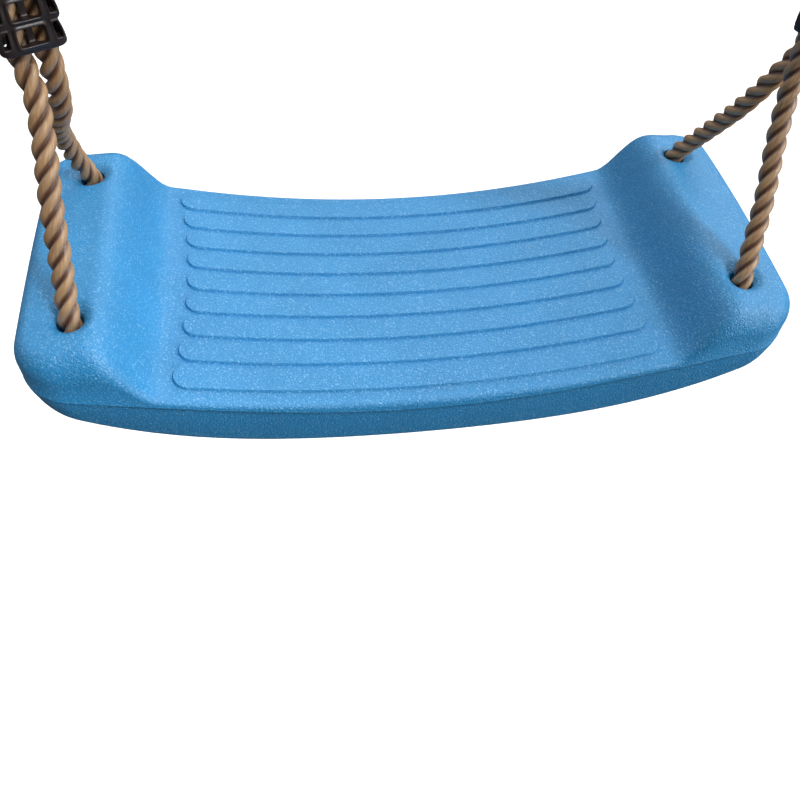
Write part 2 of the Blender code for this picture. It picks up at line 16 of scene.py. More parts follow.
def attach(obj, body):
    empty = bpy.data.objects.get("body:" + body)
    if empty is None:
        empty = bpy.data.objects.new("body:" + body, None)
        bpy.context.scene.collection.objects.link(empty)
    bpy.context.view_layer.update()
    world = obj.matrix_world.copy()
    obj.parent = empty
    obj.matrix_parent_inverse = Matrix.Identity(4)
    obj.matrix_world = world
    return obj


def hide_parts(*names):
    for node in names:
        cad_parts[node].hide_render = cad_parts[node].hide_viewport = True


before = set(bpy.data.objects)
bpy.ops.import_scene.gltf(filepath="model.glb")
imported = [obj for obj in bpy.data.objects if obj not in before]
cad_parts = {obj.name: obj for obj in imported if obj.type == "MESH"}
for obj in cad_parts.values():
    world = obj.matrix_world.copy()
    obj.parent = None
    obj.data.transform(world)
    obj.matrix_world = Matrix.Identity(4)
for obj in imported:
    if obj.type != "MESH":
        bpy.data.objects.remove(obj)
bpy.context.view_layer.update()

# ---- camera -------------------------------------------------------------------------
camera_data = bpy.data.cameras.new("camera")
camera_data.lens = 36.9
camera_data.sensor_width = 36.0
camera_data.shift_x = -0.040
camera_data.shift_y = -0.002
camera_data.clip_start = 0.01
camera = bpy.data.objects.new("camera", camera_data)
camera.location = (-0.0818, -0.3811, -0.0546)
camera.rotation_euler = tuple(math.radians(turn) for turn in (38.12, -3.93, -8.83))
bpy.context.scene.collection.objects.link(camera)
bpy.context.scene.camera = camera

# ---- dimensions ---------------------------------------------------------------------
# These are the CAD's, except the front roll, the pads' foot, shoulder and ease, the bars'
# height, the dimples, the edges, and the adjusters' depth, channels, window floors and
# pocket floors, which were refined after it. The rope's strands are only in this model.
SEAT_SHIFT = -0.0125
SEAT_DROP = 0.380
HALF_LENGTH = 0.2195
HALF_DEPTH = 0.0935
CORNER_RADIUS = 0.026

PAN_LOW = -0.0491
PAN_RISE = 0.782
PAN_CROWN = 0.200
FRONT_ROLL = 3.5
FRONT_ROLL_FROM = 0.066
PAD_HIGH = 0.0042
PAD_RIDGE_X = 0.180
PAD_TILT = 0.07
PAD_CROWN = 0.41
FOOT_X = 0.1455
SHOULDER_X = 0.1820
PAD_EASE = 0.92  # below 1, the slope to a pad starts to rise sooner
PINCH = 0.25

PARTING_LOW = -0.0583
PARTING_RISE = (1.02, -6.5)
UNDER_LOW = -0.0875
UNDER_RISE = (0.54, 12.8)
UNDER_ROUNDING = 0.0055
SIDE_DRAFT = 0.0010
SIDE_BELLY = 0.0004
EDGE_INWARD = (0.0035, 0.0125)  # long edges: beside the pan, and what a pad adds
EDGE_DOWN = (0.0045, 0.0145)
END_INWARD = 0.010
END_DOWN = 0.013
PARTING_RIM = ((0.0, -0.0005), (0.0002, -0.0002), (0.0002, 0.0002), (0.0, 0.0005))  # out and up

BAR_COUNT = 9
BAR_PITCH = 0.0190
BAR_WIDTH = 0.0165
BAR_HEIGHT = 0.0018
BAR_SHOULDER = 0.0012
BAR_HALF_LENGTH = 0.1376
BAR_BOW = 1.02

HOLE_X = 0.190
HOLE_Y = 0.0605
TUNNEL_RADIUS = 0.00725
DIMPLE_DEPTH = 0.0032
DIMPLE_INNER = 0.0064
DIMPLE_WIDTH = 0.0070
HOLE_LIP_DEPTH = 0.0010
HOLE_LIP_INNER = 0.0066
HOLE_LIP_WIDTH = 0.0022

ROPE_RADIUS = 0.006
LAY_LENGTH = 0.0325
STRANDS = 3
STRAND_OFFSET = 0.0029
STRAND_RADIUS = 0.0031

ADJUSTER_X = 0.1945
ADJUSTER_BOTTOM = {"left": -0.2626, "right": -0.2580}
ADJUSTER_TURN = {"left": 28.0, "right": 52.0}
ROPE_SPACING = 0.0124
LOBE_COUNT = 4
LOBE_PITCH = 0.0117
LOBE_BASE = 0.0008
LOBE_WIDE = 0.0152
LOBE_NARROW = 0.0138
BODY_HALF_DEPTH = 0.0086
CHANNEL_RADIUS = 0.0066
WINDOW_MIDDLE = 0.0084
WINDOW_HALF = (0.0064, 0.0040)
WINDOW_FLOOR = 0.0052
POCKET_FLOOR = 0.0030

RING_RADIUS = 0.018
RING_WIRE = 0.003
EYE_RADIUS = 0.010
EYE_CENTRE_Z = -0.005
EYE_TIP_Z = -0.040
THIMBLE_WALL = 0.0022
THIMBLE_HALF_WIDTH = 0.0072
EYE_SLACK = 0.0012
FERRULE_TOP = -0.0560
FERRULE_BOTTOM = -0.0780
FERRULE_WALL = 0.0022
LEG_APART = 0.0062  # each of an eye's two legs from its middle
# One leg from its ferrule up to its eye, y and z in millimetres.
EYE_LEG = ((6.2, -74), (6.2, -62), (6.2, -54), (6.9, -46.5), (11.0, -35), (15.0, -23), (18.6, -12))
KNOT_AWAY = 0.0178
KNOT_RISE = 0.0213
UNDER_RUN_Z = -0.0465
UNDER_BEND = 0.024
HOLE_LEAN = 0.0014
PARALLEL_TOP = 0.232

SIDES = {"left": -1.0, "right": 1.0}
# Each leg between the seat and its adjuster: a few points in millimetres, in the seat's frame.
LEGS = {
    "left": {
        "front": [(-185, -8, 98), (-185, -18, 81), (-187, -35, 53), (-189, -51, 18)],
        "back": [(-193, 56, 14), (-194, 45, 38), (-190, 28, 58), (-182, 14, 77), (-178, 6, 97)],
    },
    "right": {
        "front": [(203, -9, 92), (201, -20, 66), (198, -37, 38), (193, -52, 15)],
        "back": [(194, 52, 16), (198, 38, 38), (201, 24, 60), (205, 12, 85), (210, 6, 105)],
    },
}


# ---- rope routes --------------------------------------------------------------------
def seat_point(x, y, z):
    """A point of the seat's own frame, in the part's frame."""
    return Vector((x + SEAT_SHIFT, y, z - SEAT_DROP))


def channel_offset(name):
    """From the adjuster's centre to its rear rope channel."""
    turn = math.radians(ADJUSTER_TURN[name])
    return Vector((math.cos(turn), math.sin(turn), 0.0)) * (ROPE_SPACING / 2.0)


def rope_route(name):
    """Points that the rope passes through, from its short end at the ferrule to its knot."""
    side = SIDES[name]
    centre = Vector((side * ADJUSTER_X, 0.0, 0.0))
    offset = channel_offset(name)
    route = []
    for y, z in ((6.2, -84),) + EYE_LEG:
        route.append(centre + Vector((0.0, y, z)) / 1000.0)
    for step in range(9):
        angle = math.radians(180.0 * step / 8)
        radius = EYE_RADIUS + THIMBLE_WALL + ROPE_RADIUS + EYE_SLACK
        route.append(centre + Vector((0.0, radius * math.cos(angle),
                                      EYE_CENTRE_Z + radius * math.sin(angle))))
    for y, z in EYE_LEG[::-1] + ((6.2, -82),):
        route.append(centre + Vector((0.0, -y, z)) / 1000.0)
    top = PARALLEL_TOP - SEAT_DROP
    halfway = (-offset.x * 0.55, -LEG_APART * 0.45 - offset.y * 0.55, (top - 0.082) / 2.0)
    route.append(centre + Vector(halfway))
    low = ADJUSTER_BOTTOM[name]
    for height in (top, top - 0.008, top - 0.04, low, low - 0.006):
        route.append(centre - offset + Vector((0.0, 0.0, height)))
    for x, y, z in LEGS[name]["front"]:
        route.append(seat_point(x / 1000.0, y / 1000.0, z / 1000.0))
    hole = side * HOLE_X
    bend_z = UNDER_RUN_Z + UNDER_BEND
    down = [(-HOLE_Y, 0.0), (-HOLE_Y - HOLE_LEAN, -0.012), (-HOLE_Y - HOLE_LEAN, bend_z)]
    bend_y = -HOLE_Y - HOLE_LEAN + UNDER_BEND
    for angle in (25.0, 50.0, 75.0, 90.0):
        turn = math.radians(angle)
        down.append((bend_y - UNDER_BEND * math.cos(turn), bend_z - UNDER_BEND * math.sin(turn)))
    for y, z in down + [(0.0, UNDER_RUN_Z)] + [(-y, z) for y, z in reversed(down)]:
        route.append(seat_point(hole, y, z))
    for x, y, z in LEGS[name]["back"]:
        route.append(seat_point(x / 1000.0, y / 1000.0, z / 1000.0))
    for height in (low - 0.004, low, top - 0.04, top - 0.028, top - 0.018):
        route.append(centre + offset + Vector((0.0, 0.0, height)))
    away = offset.normalized()
    for out, height in ((0.0069, -0.0124), (0.0088, -0.0071), (0.0120, -0.0023), (0.0152, 0.0024),
                        (0.0171, 0.0077), (KNOT_AWAY, 0.0133), (KNOT_AWAY, KNOT_RISE)):
        route.append(centre + away * out + Vector((0.0, 0.0, top + height)))
    return route


def smooth_curve(points, per_span=12):
    """Centripetal Catmull-Rom curve through the points."""
    ends = [points[0] * 2.0 - points[1]] + points + [points[-1] * 2.0 - points[-2]]
    curve = []
    for index in range(1, len(ends) - 2):
        p0, p1, p2, p3 = ends[index - 1:index + 3]
        t1 = (p1 - p0).length ** 0.5
        t2 = t1 + (p2 - p1).length ** 0.5
        t3 = t2 + (p3 - p2).length ** 0.5
        for step in range(per_span):
            t = t1 + (t2 - t1) * step / per_span
            a1 = p0.lerp(p1, t / t1)
            a2 = p1.lerp(p2, (t - t1) / (t2 - t1))
            a3 = p2.lerp(p3, (t - t2) / (t3 - t2))
            b1 = a1.lerp(a2, t / t2)
            b2 = a2.lerp(a3, (t - t1) / (t3 - t1))
            curve.append(b1.lerp(b2, (t - t1) / (t2 - t1)))
    curve.append(points[-1].copy())
    return curve


def distances(line):
    """How far along a line of points each of them lies."""
    return np.concatenate([[0.0], np.cumsum(np.linalg.norm(np.diff(line, axis=0), axis=1))])


def spaced(curve, step):
    """Evenly spaced points along the curve, about a step apart, and how far along each lies."""
    line = np.array([list(point) for point in curve])
    along = distances(line)
    at = np.linspace(0.0, along[-1], int(round(along[-1] / step)) + 1)
    return np.stack([np.interp(at, along, line[:, axis]) for axis in range(3)], axis=1), at


# ---- mesh helpers -------------------------------------------------------------------
def smoothstep(t):
    t = np.clip(t, 0.0, 1.0)
    return t * t * (3.0 - 2.0 * t)


def line_frames(line):
    """Tangent and two cross directions at each point, without twist; across x up = tangent."""
    tangents = np.gradient(line, axis=0)
    tangents /= np.linalg.norm(tangents, axis=1)[:, None]
    guide = np.array((1.0, 0.0, 0.0)) if abs(tangents[0][0]) < 0.9 else np.array((0.0, 1.0, 0.0))
    frames = []
    across = guide - tangents[0] * guide.dot(tangents[0])
    for tangent in tangents:
        across = across - tangent * across.dot(tangent)
        across /= np.linalg.norm(across)
        frames.append((tangent, across, np.cross(tangent, across)))
    return frames


def add_object(name, data):
    made = bpy.data.objects.new(name, data)
    bpy.context.scene.collection.objects.link(made)
    return made


def to_object(name, mesh):
    data = bpy.data.meshes.new(name)
    mesh.to_mesh(data)
    mesh.free()
    return add_object(name, data)


def loft(mesh, loops, closed=False, material=0):
    """Join loops of vertices into a skin; closed also joins the last loop to the first."""
    for low, high in zip(loops, loops[1:] + (loops[:1] if closed else [])):
        for index in range(len(low)):
            after = (index + 1) % len(low)
            face = mesh.faces.new((low[index], low[after], high[after], high[index]))
            face.material_index = material


def solid(name, mesh, loops):
    """Object lofted through open loops and closed by a face at each end."""
    loft(mesh, loops)
    mesh.faces.new(loops[0][::-1])
    mesh.faces.new(loops[-1])
    return to_object(name, mesh)


def hoop(name, mesh, loops):
    """Object lofted through loops that come round to the first again."""
    loft(mesh, loops, closed=True)
    bmesh.ops.recalc_face_normals(mesh, faces=mesh.faces)
    return to_object(name, mesh)


def sweep(name, line, radius, sides):
    """Closed round tube along a line of points."""
    mesh = bmesh.new()
    loops = []
    for point, (_, across, up) in zip(line, line_frames(line)):
        loops.append([mesh.verts.new(point + radius * (across * math.cos(turn) + up * math.sin(turn)))
                      for turn in np.arange(sides) * (2.0 * math.pi / sides)])
    return solid(name, mesh, loops)


def combine(made, tool, operation):
    """Give an object an exact boolean with a tool."""
    change = made.modifiers.new("combine", "BOOLEAN")
    change.object = tool
    change.operation = operation
    change.solver = "EXACT"


def apply_modifiers(made):
    graph = bpy.context.evaluated_depsgraph_get()
    shaped = bpy.data.meshes.new_from_object(made.evaluated_get(graph))
    made.modifiers.clear()
    made.data = shaped


# ---- material helpers ---------------------------------------------------------------
class Shader:
    """A material's node tree, with short calls that add and join nodes."""

    def __init__(self, name):
        self.material = bpy.data.materials.new(name)
        self.material.use_nodes = True
        self.tree = self.material.node_tree
        self.principled = self.tree.nodes["Principled BSDF"]

    def give(self, socket, value):
        """Join another node's output to a socket, or set the socket's own value."""
        if isinstance(value, bpy.types.NodeSocket):
            self.tree.links.new(value, socket)
        else:
            socket.default_value = (*value, 1.0) if socket.type == "RGBA" else value

    def node(self, kind, inputs=None, **settings):
        made = self.tree.nodes.new(kind)
        for key, value in settings.items():
            setattr(made, key, value)
        for key, value in (inputs or {}).items():
            self.give(made.inputs[key], value)
        return made

    def noise(self, vector, scale, detail=3.0, roughness=0.5, distortion=0.0):
        made = self.node("ShaderNodeTexNoise", {"Vector": vector, "Scale": scale, "Detail": detail,
                                                "Roughness": roughness, "Distortion": distortion})
        return made.outputs["Fac"]

    def maths(self, operation, first, second=0.0):
        return self.node("ShaderNodeMath", {0: first, 1: second}, operation=operation).outputs[0]

    def ramp(self, value, *stops):
        """Map a value through stops of place and level."""
        made = self.node("ShaderNodeValToRGB", {"Fac": value})
        ramp = made.color_ramp
        while len(ramp.elements) < len(stops):
            ramp.elements.new(0.5)
        for element, (place, level) in zip(ramp.elements, stops):
            element.position = place
            element.color = (level, level, level, 1.0)
        return made.outputs["Color"]

    def mix(self, share, first, second):
        """Blend two colours."""
        return self.node("ShaderNodeMix", {0: share, 6: first, 7: second}, data_type="RGBA").outputs[2]

    def bump(self, height, distance, strength):
        inputs = {"Height": height, "Distance": distance, "Strength": strength}
        return self.node("ShaderNodeBump", inputs).outputs["Normal"]

    def place(self):
        return self.node("ShaderNodeTexCoord").outputs["Object"]

    def stretched(self, vector, scale):
        return self.node("ShaderNodeMapping", {"Vector": vector, "Scale": scale}).outputs["Vector"]

    def set(self, **inputs):
        """Set the surface's own inputs, and return the finished material."""
        names = {"colour": "Base Color", "roughness": "Roughness", "metallic": "Metallic",
                 "normal": "Normal", "specular": "Specular IOR Level", "sheen": "Sheen Weight",
                 "sheen_roughness": "Sheen Roughness", "glow": "Emission Color",
                 "glow_strength": "Emission Strength"}
        for key, value in inputs.items():
            self.give(self.principled.inputs[names[key]], value)
        return self.material


SEAT_BLUE = (0.020, 0.250, 0.550)
# painted highlight: the paler blue of specks that stand in for glints on the seat's pebbles
PAINTED_GLINT_BLUE = (0.20, 0.48, 0.76)
BAND_BLUE = (0.005, 0.255, 0.850)


def seat_grain_material():
    """Pebbled skin of the seat's top, with painted highlight: paler blue specks scattered over it."""
    shader = Shader("seat_grained_blue")
    where = shader.place()
    pebble = shader.node("ShaderNodeTexVoronoi", {"Vector": where, "Scale": 1050.0}, feature="SMOOTH_F1")
    fine = shader.noise(where, 1900.0, 2.0)
    cloud = shader.noise(where, 28.0, 4.0)
    glint_speck = shader.noise(where, 900.0, 1.0)
    height = shader.maths("SUBTRACT", shader.maths("MULTIPLY", fine, 0.5), pebble.outputs["Distance"])
    tone = shader.mix(shader.ramp(cloud, (0.35, 0.0), (0.70, 1.0)), SEAT_BLUE,
                      tuple(channel * 0.90 for channel in SEAT_BLUE))
    # painted highlight: paler blue specks in the colour stand in for glints on the pebbles
    tone = shader.mix(shader.ramp(glint_speck, (0.55, 0.0), (0.71, 0.65)), tone, PAINTED_GLINT_BLUE)
    rough = shader.ramp(cloud, (0.30, 0.35), (0.75, 0.45))
    return shader.set(colour=tone, roughness=rough, specular=0.65, normal=shader.bump(height, 0.00050, 0.85))


def seat_smooth_material():
    """Smooth moulded skin of the seat's side band and underside."""
    shader = Shader("seat_smooth_blue")
    where = shader.place()
    cloud = shader.noise(where, 22.0, 4.0)
    fine = shader.noise(where, 1400.0, 2.0)
    scuff = shader.noise(shader.stretched(where, (40.0, 220.0, 500.0)), 1.0, 5.0, 0.6)
    tone = shader.mix(shader.ramp(cloud, (0.35, 0.0), (0.70, 1.0)), BAND_BLUE,
                      tuple(channel * 0.93 for channel in BAND_BLUE))
    rough = shader.ramp(scuff, (0.35, 0.34), (0.75, 0.46))
    return shader.set(colour=tone, roughness=rough, specular=0.25, normal=shader.bump(fine, 0.00002, 0.15))


# ---- seat ---------------------------------------------------------------------------
def bar_lift(x, y):
    """Height that the anti-slip bars add, with rounded shoulders."""
    row = np.clip(np.round(y / BAR_PITCH), -(BAR_COUNT // 2), BAR_COUNT // 2)
    centre = row * BAR_PITCH
    reach = BAR_HALF_LENGTH + BAR_BOW * centre * centre - BAR_WIDTH / 2.0
    beyond = np.maximum(np.abs(x) - reach, 0.0)
    depth = BAR_WIDTH / 2.0 - np.hypot(beyond, y - centre)
    return BAR_HEIGHT * smoothstep(depth / BAR_SHOULDER)


def pad_nearness(x):
    """From 0 over the pan to 1 over a pad."""
    return smoothstep((np.abs(x) - FOOT_X) / (SHOULDER_X - FOOT_X))


def top_height(x, y):
    """Height of the seat's upper skin."""
    x = np.asarray(x, float)
    y = np.asarray(y, float)
    roll = FRONT_ROLL * np.maximum(-y - FRONT_ROLL_FROM, 0.0) ** 2
    pan = PAN_LOW + PAN_RISE * x * x - PAN_CROWN * y * y - roll
    pad = PAD_HIGH - PAD_TILT * (np.abs(x) - PAD_RIDGE_X) - PAD_CROWN * y * y
    t = np.clip((np.abs(x) - FOOT_X - PINCH * y * y) / (SHOULDER_X - FOOT_X), 0.0, 1.0)
    t = t ** PAD_EASE
    share = t ** 3 * (t * (6.0 * t - 15.0) + 10.0)
    height = pan + (pad - pan) * share + bar_lift(x, y) * (1.0 - share)
    radius = np.hypot(np.abs(x) - HOLE_X, np.abs(y) - HOLE_Y)
    height -= DIMPLE_DEPTH * (1.0 - smoothstep((radius - DIMPLE_INNER) / DIMPLE_WIDTH))
    return height - HOLE_LIP_DEPTH * (1.0 - smoothstep((radius - HOLE_LIP_INNER) / HOLE_LIP_WIDTH))


def parting_height(x):
    return PARTING_LOW + PARTING_RISE[0] * x * x + PARTING_RISE[1] * x ** 4


def under_height(x):
    return UNDER_LOW + UNDER_RISE[0] * x * x + UNDER_RISE[1] * x ** 4


CORNER_STEPS = 22
BAR_LINES = (0.0002, -0.0002, -0.0005, -0.0008, -0.0011, -0.0015)  # out from each bar's outline
HOLE_RINGS = ((0.0, 1), (0.003, 8), (0.006, 24), (0.0066, 36), (0.0071, 36), (0.0076, 36), (0.0082, 36),
              (0.0090, 36), (0.0102, 36), (0.0118, 36), (0.0134, 30), (0.0152, 30))  # radius, points
HOLE_CLEAR = 0.0175
BAR_ROWS = range(-(BAR_COUNT // 2), BAR_COUNT // 2 + 1)


def plan_outline(step):
    """Rounded rectangle at the parting line: arrays of points and of outward normals."""
    half_x = HALF_LENGTH - CORNER_RADIUS
    half_y = HALF_DEPTH - CORNER_RADIUS
    points = []
    normals = []
    for quarter in range(4):
        start = math.radians(90.0 * quarter - 90.0)
        normal = np.array((round(math.cos(start)), round(math.sin(start))), float)
        tangent = np.array((-normal[1], normal[0]))
        span = half_x if quarter % 2 == 0 else half_y
        out = (half_y if quarter % 2 == 0 else half_x) + CORNER_RADIUS
        count = int(round(2.0 * span / step))
        for index in range(count + 1):
            points.append(normal * out + tangent * (-span + 2.0 * span * index / count))
            normals.append(normal)
        corner = normal * (out - CORNER_RADIUS) + tangent * span
        for index in range(1, CORNER_STEPS):
            angle = start + math.radians(90.0) * index / CORNER_STEPS
            turn = np.array((math.cos(angle), math.sin(angle)))
            points.append(corner + CORNER_RADIUS * turn)
            normals.append(turn)
    return np.array(points), np.array(normals)


def stadium_loop(row, offset):
    """Points along one bar's outline, moved outward by an offset."""
    centre = row * BAR_PITCH
    radius = BAR_WIDTH / 2.0 + offset
    reach = BAR_HALF_LENGTH + BAR_BOW * centre * centre - BAR_WIDTH / 2.0
    loop = []
    for side in (1.0, -1.0):
        for step in range(17):
            angle = math.radians(-90.0 + 180.0 * step / 16)
            loop.append((side * (reach + radius * math.cos(angle)),
                         centre + side * radius * math.sin(angle)))
        for step in range(1, 48):
            loop.append((side * (reach - 2.0 * reach * step / 48), centre + side * radius))
    return loop


def triangulate(rim, spots, loops):
    """Plan triangles inside a rim, through the spots and along the closed loops."""
    points = [Vector((float(x), float(y))) for x, y in rim]
    edges = [(index, (index + 1) % len(rim)) for index in range(len(rim))]
    points += [Vector((float(x), float(y))) for x, y in spots]
    for loop in loops:
        first = len(points)
        points += [Vector(point) for point in loop]
        edges += [(first + index, first + (index + 1) % len(loop)) for index in range(len(loop))]
    flat, _, faces, sources, _, _ = delaunay_2d_cdt(points, edges, [], 1, 1e-7)
    return flat, faces, sources


def seat_spots():
    """Plan points that carry the seat's top between its bars and its edge."""
    spots = []
    for x in np.arange(0.1375, HALF_LENGTH - 0.0125, 0.0022):
        for y in np.arange(-0.084, 0.0841, 0.0030):
            limit = HALF_DEPTH - 0.008 - 0.0115 * float(pad_nearness(x))
            corner = x > HALF_LENGTH - CORNER_RADIUS - 0.002 and abs(y) > HALF_DEPTH - CORNER_RADIUS - 0.002
            around = math.hypot(x - HOLE_X, abs(y) - HOLE_Y) < HOLE_CLEAR
            on_bar = x < 0.1385 + BAR_BOW * y * y + 0.002
            if abs(y) < limit and not (corner or around or on_bar):
                spots += [(x, y), (-x, y)]
    for sign_x in (-1.0, 1.0):
        for sign_y in (-1.0, 1.0):
            for radius, count in HOLE_RINGS:
                for step in range(count):
                    angle = 2.0 * math.pi * step / count
                    spots.append((sign_x * HOLE_X + radius * math.cos(angle),
                                  sign_y * HOLE_Y + radius * math.sin(angle)))
    for row in BAR_ROWS:
        for x in np.arange(-0.126, 0.1261, 0.006):
            for offset in (-0.003, 0.0, 0.003):
                spots.append((x, row * BAR_PITCH + offset))
    return spots


def edge_size(x, normal):
    """How far the upper edge's rounding reaches inward and down, at points of the outline."""
    end = np.abs(normal[:, 0])
    share = pad_nearness(x)
    inward = (EDGE_INWARD[0] + EDGE_INWARD[1] * share) * (1.0 - end) + END_INWARD * end
    down = (EDGE_DOWN[0] + EDGE_DOWN[1] * share) * (1.0 - end) + END_DOWN * end
    return inward, down


def build_seat():
    outline, normals = plan_outline(0.0030)
    x = outline[:, 0]
    rings = []
    for step in range(8):  # rounding of the underside's edge
        angle = math.radians(90.0) * step / 7
        inset = UNDER_ROUNDING * (1.0 - math.sin(angle))
        rise = UNDER_ROUNDING * (1.0 - math.cos(angle))
        plan = outline - normals * (inset + SIDE_DRAFT)
        rings.append(np.column_stack([plan, under_height(plan[:, 0]) + rise]))
    side_low = rings[-1][:, 2]
    side_high = parting_height(x)
    for step in range(1, 7):  # side band, with a little draft and belly
        share = step / 7.0
        inset = SIDE_DRAFT * (1.0 - share) - SIDE_BELLY * math.sin(math.pi * share)
        plan = outline - normals * inset
        rings.append(np.column_stack([plan, side_low + (side_high - side_low) * share]))
    for out, rise in PARTING_RIM:
        rings.append(np.column_stack([outline + normals * out, side_high + rise]))
    grained_from = len(rings) - 1
    inward, down = edge_size(x, normals)
    inner = outline - normals * inward[:, None]
    crest = top_height(inner[:, 0], inner[:, 1])
    down = np.minimum(down, crest - side_high - 0.0008)
    for step in range(1, 13):
        angle = math.radians(90.0) * step / 12
        plan = outline - normals * (inward * (1.0 - math.cos(angle)))[:, None]
        rings.append(np.column_stack([plan, crest - down * (1.0 - math.sin(angle))]))

    mesh = bmesh.new()
    layers = [[mesh.verts.new(point) for point in ring] for ring in rings]
    loft(mesh, layers[:grained_from + 1], material=1)
    loft(mesh, layers[grained_from:])
    bar_loops = [stadium_loop(row, offset) for row in BAR_ROWS for offset in BAR_LINES]
    add_cap(mesh, layers[-1], seat_spots(), bar_loops, top_height, True)
    under_spots = [(px, py) for px in np.arange(-0.208, 0.2081, 0.008)
                   for py in np.arange(-0.080, 0.0801, 0.008)
                   if math.hypot(max(abs(px) - 0.19, 0.0), max(abs(py) - 0.066, 0.0)) < 0.016]
    add_cap(mesh, layers[0], under_spots, [], lambda px, py: under_height(px), False)
    seat = to_object("swing_seat", mesh)
    seat.location = seat_point(0.0, 0.0, 0.0)
    return seat


def add_cap(mesh, rim, spots, loops, height, upward):
    """Fill a rim with triangles at the given height: grained and facing up, or smooth and facing down."""
    flat, faces, sources = triangulate([(vertex.co.x, vertex.co.y) for vertex in rim], spots, loops)
    plan = np.array([list(point) for point in flat])
    levels = height(plan[:, 0], plan[:, 1])
    made = []
    for index, point in enumerate(flat):
        source = sources[index][0] if sources[index] else -1
        if 0 <= source < len(rim):
            made.append(rim[source])
        else:
            made.append(mesh.verts.new((point.x, point.y, float(levels[index]))))
    for face in faces:
        corners = [made[index] for index in face]
        turn = (corners[1].co - corners[0].co).cross(corners[2].co - corners[0].co).z
        if abs(turn) > 1e-13:
            added = mesh.faces.new(corners if (turn > 0) == upward else corners[::-1])
            added.material_index = 0 if upward else 1


def bore_tunnels(seat):
    """Cut both rope tunnels: in at the front hole, along the underside, out at the back hole."""
    cutters = []
    for name in SIDES:
        inside = [point for point in smooth_curve(rope_route(name)) if point.z < 0.016 - SEAT_DROP]
        line, _ = spaced(inside, 0.003)
        cutters.append(sweep("tunnel_cutter_" + name, line, TUNNEL_RADIUS, 40))
        combine(seat, cutters[-1], "DIFFERENCE")
    apply_modifiers(seat)
    for cutter in cutters:
        bpy.data.objects.remove(cutter)


seat = build_seat()
bore_tunnels(seat)
seat.data.materials.clear()
seat.data.materials.append(seat_grain_material())
seat.data.materials.append(seat_smooth_material())
seat.data.shade_smooth()
seat.data.set_sharp_from_angle(angle=math.radians(40.0))
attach(seat, "swing")
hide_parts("seat")


# ---- ropes and stopper knots --------------------------------------------------------
ROPE_SIDES = 54
RING_STEP = 0.0011
MELTED_DOME = ((0.42, 0.0031), (0.74, 0.0026), (0.93, 0.0016), (1.0, 0.0004))  # share of radius, out


def rope_section():
    """Radius of a three-strand rope's section at evenly spaced angles."""
    radii = []
    for step in range(ROPE_SIDES):
        angle = 2.0 * math.pi * step / ROPE_SIDES
        reach = []
        for strand in range(STRANDS):
            away = angle - 2.0 * math.pi * strand / STRANDS
            across = STRAND_OFFSET * math.sin(away)
            if abs(across) < STRAND_RADIUS:
                reach.append(STRAND_OFFSET * math.cos(away) + math.sqrt(STRAND_RADIUS ** 2 - across ** 2))
        radii.append(max(reach))
    return np.array(radii)


def rope_mesh(name, line, along, start, end, melted_ends):
    """Rope between two stations of its line; the section turns once in each lay length.

    melted_ends says whether the first and the last end is closed by a melted dome.
    """
    section = rope_section()
    frames = line_frames(line)
    rings = []
    lengthwise = []
    turns = np.arange(ROPE_SIDES) * (2.0 * math.pi / ROPE_SIDES)
    stations = [(start, size, -out, 1.0) for size, out in MELTED_DOME if melted_ends[0]]
    stations += [(index, 1.0, 0.0, 0.0) for index in range(start, end + 1)]
    stations += [(end, size, out, 1.0) for size, out in reversed(MELTED_DOME) if melted_ends[1]]
    for index, size, out, smooth in stations:
        tangent, across, up = frames[index]
        twist = turns + 2.0 * math.pi * along[index] / LAY_LENGTH
        radii = (section * (1.0 - smooth) + ROPE_RADIUS * 0.96 * smooth) * size
        ring = line[index] + tangent * out
        rings.append(ring + radii[:, None] * (np.cos(twist)[:, None] * across + np.sin(twist)[:, None] * up))
        lengthwise.append((along[index] + out) / LAY_LENGTH)
    count = len(rings)
    middles = [rings[0].mean(axis=0), rings[-1].mean(axis=0)]
    vertices = np.concatenate(rings + [np.array(middles)])
    faces = []
    for ring in range(count - 1):
        low = ring * ROPE_SIDES
        for index in range(ROPE_SIDES):
            after = (index + 1) % ROPE_SIDES
            faces.append((low + index, low + after, low + ROPE_SIDES + after, low + ROPE_SIDES + index))
    last = (count - 1) * ROPE_SIDES
    for index in range(ROPE_SIDES):
        after = (index + 1) % ROPE_SIDES
        faces.append((after, index, count * ROPE_SIDES))
        faces.append((last + index, last + after, count * ROPE_SIDES + 1))
    data = bpy.data.meshes.new(name)
    data.from_pydata(vertices.tolist(), [], faces)
    around = np.append(np.tile(np.arange(ROPE_SIDES) / ROPE_SIDES, count), (0.0, 0.0))
    lengthwise = np.append(np.repeat(lengthwise, ROPE_SIDES), (lengthwise[0], lengthwise[-1]))
    wrap_uv(data, around, lengthwise)
    caps = np.zeros(len(data.polygons), int)
    dome_faces = len(MELTED_DOME) * ROPE_SIDES
    if melted_ends[0]:
        caps[:dome_faces] = 1
        caps[last::2] = 1
    if melted_ends[1]:
        caps[last - dome_faces:last] = 1
        caps[last + 1::2] = 1
    data.polygons.foreach_set("material_index", caps)
    return add_object(name, data)


def wrap_uv(data, around, lengthwise):
    """UVs from each vertex's place around and along, kept whole where the seam closes."""
    layer = data.uv_layers.new(name="UVMap")
    corner_vertex = np.zeros(len(data.loops), int)
    data.loops.foreach_get("vertex_index", corner_vertex)
    u = around[corner_vertex]
    starts = np.zeros(len(data.polygons), int)
    totals = np.zeros(len(data.polygons), int)
    data.polygons.foreach_get("loop_start", starts)
    data.polygons.foreach_get("loop_total", totals)
    for begin, total in zip(starts, totals):
        part = u[begin:begin + total]
        if part.max() - part.min() > 0.5:
            part[part < 0.5] += 1.0
    layer.data.foreach_set("uv", np.column_stack([u, lengthwise[corner_vertex]]).ravel())


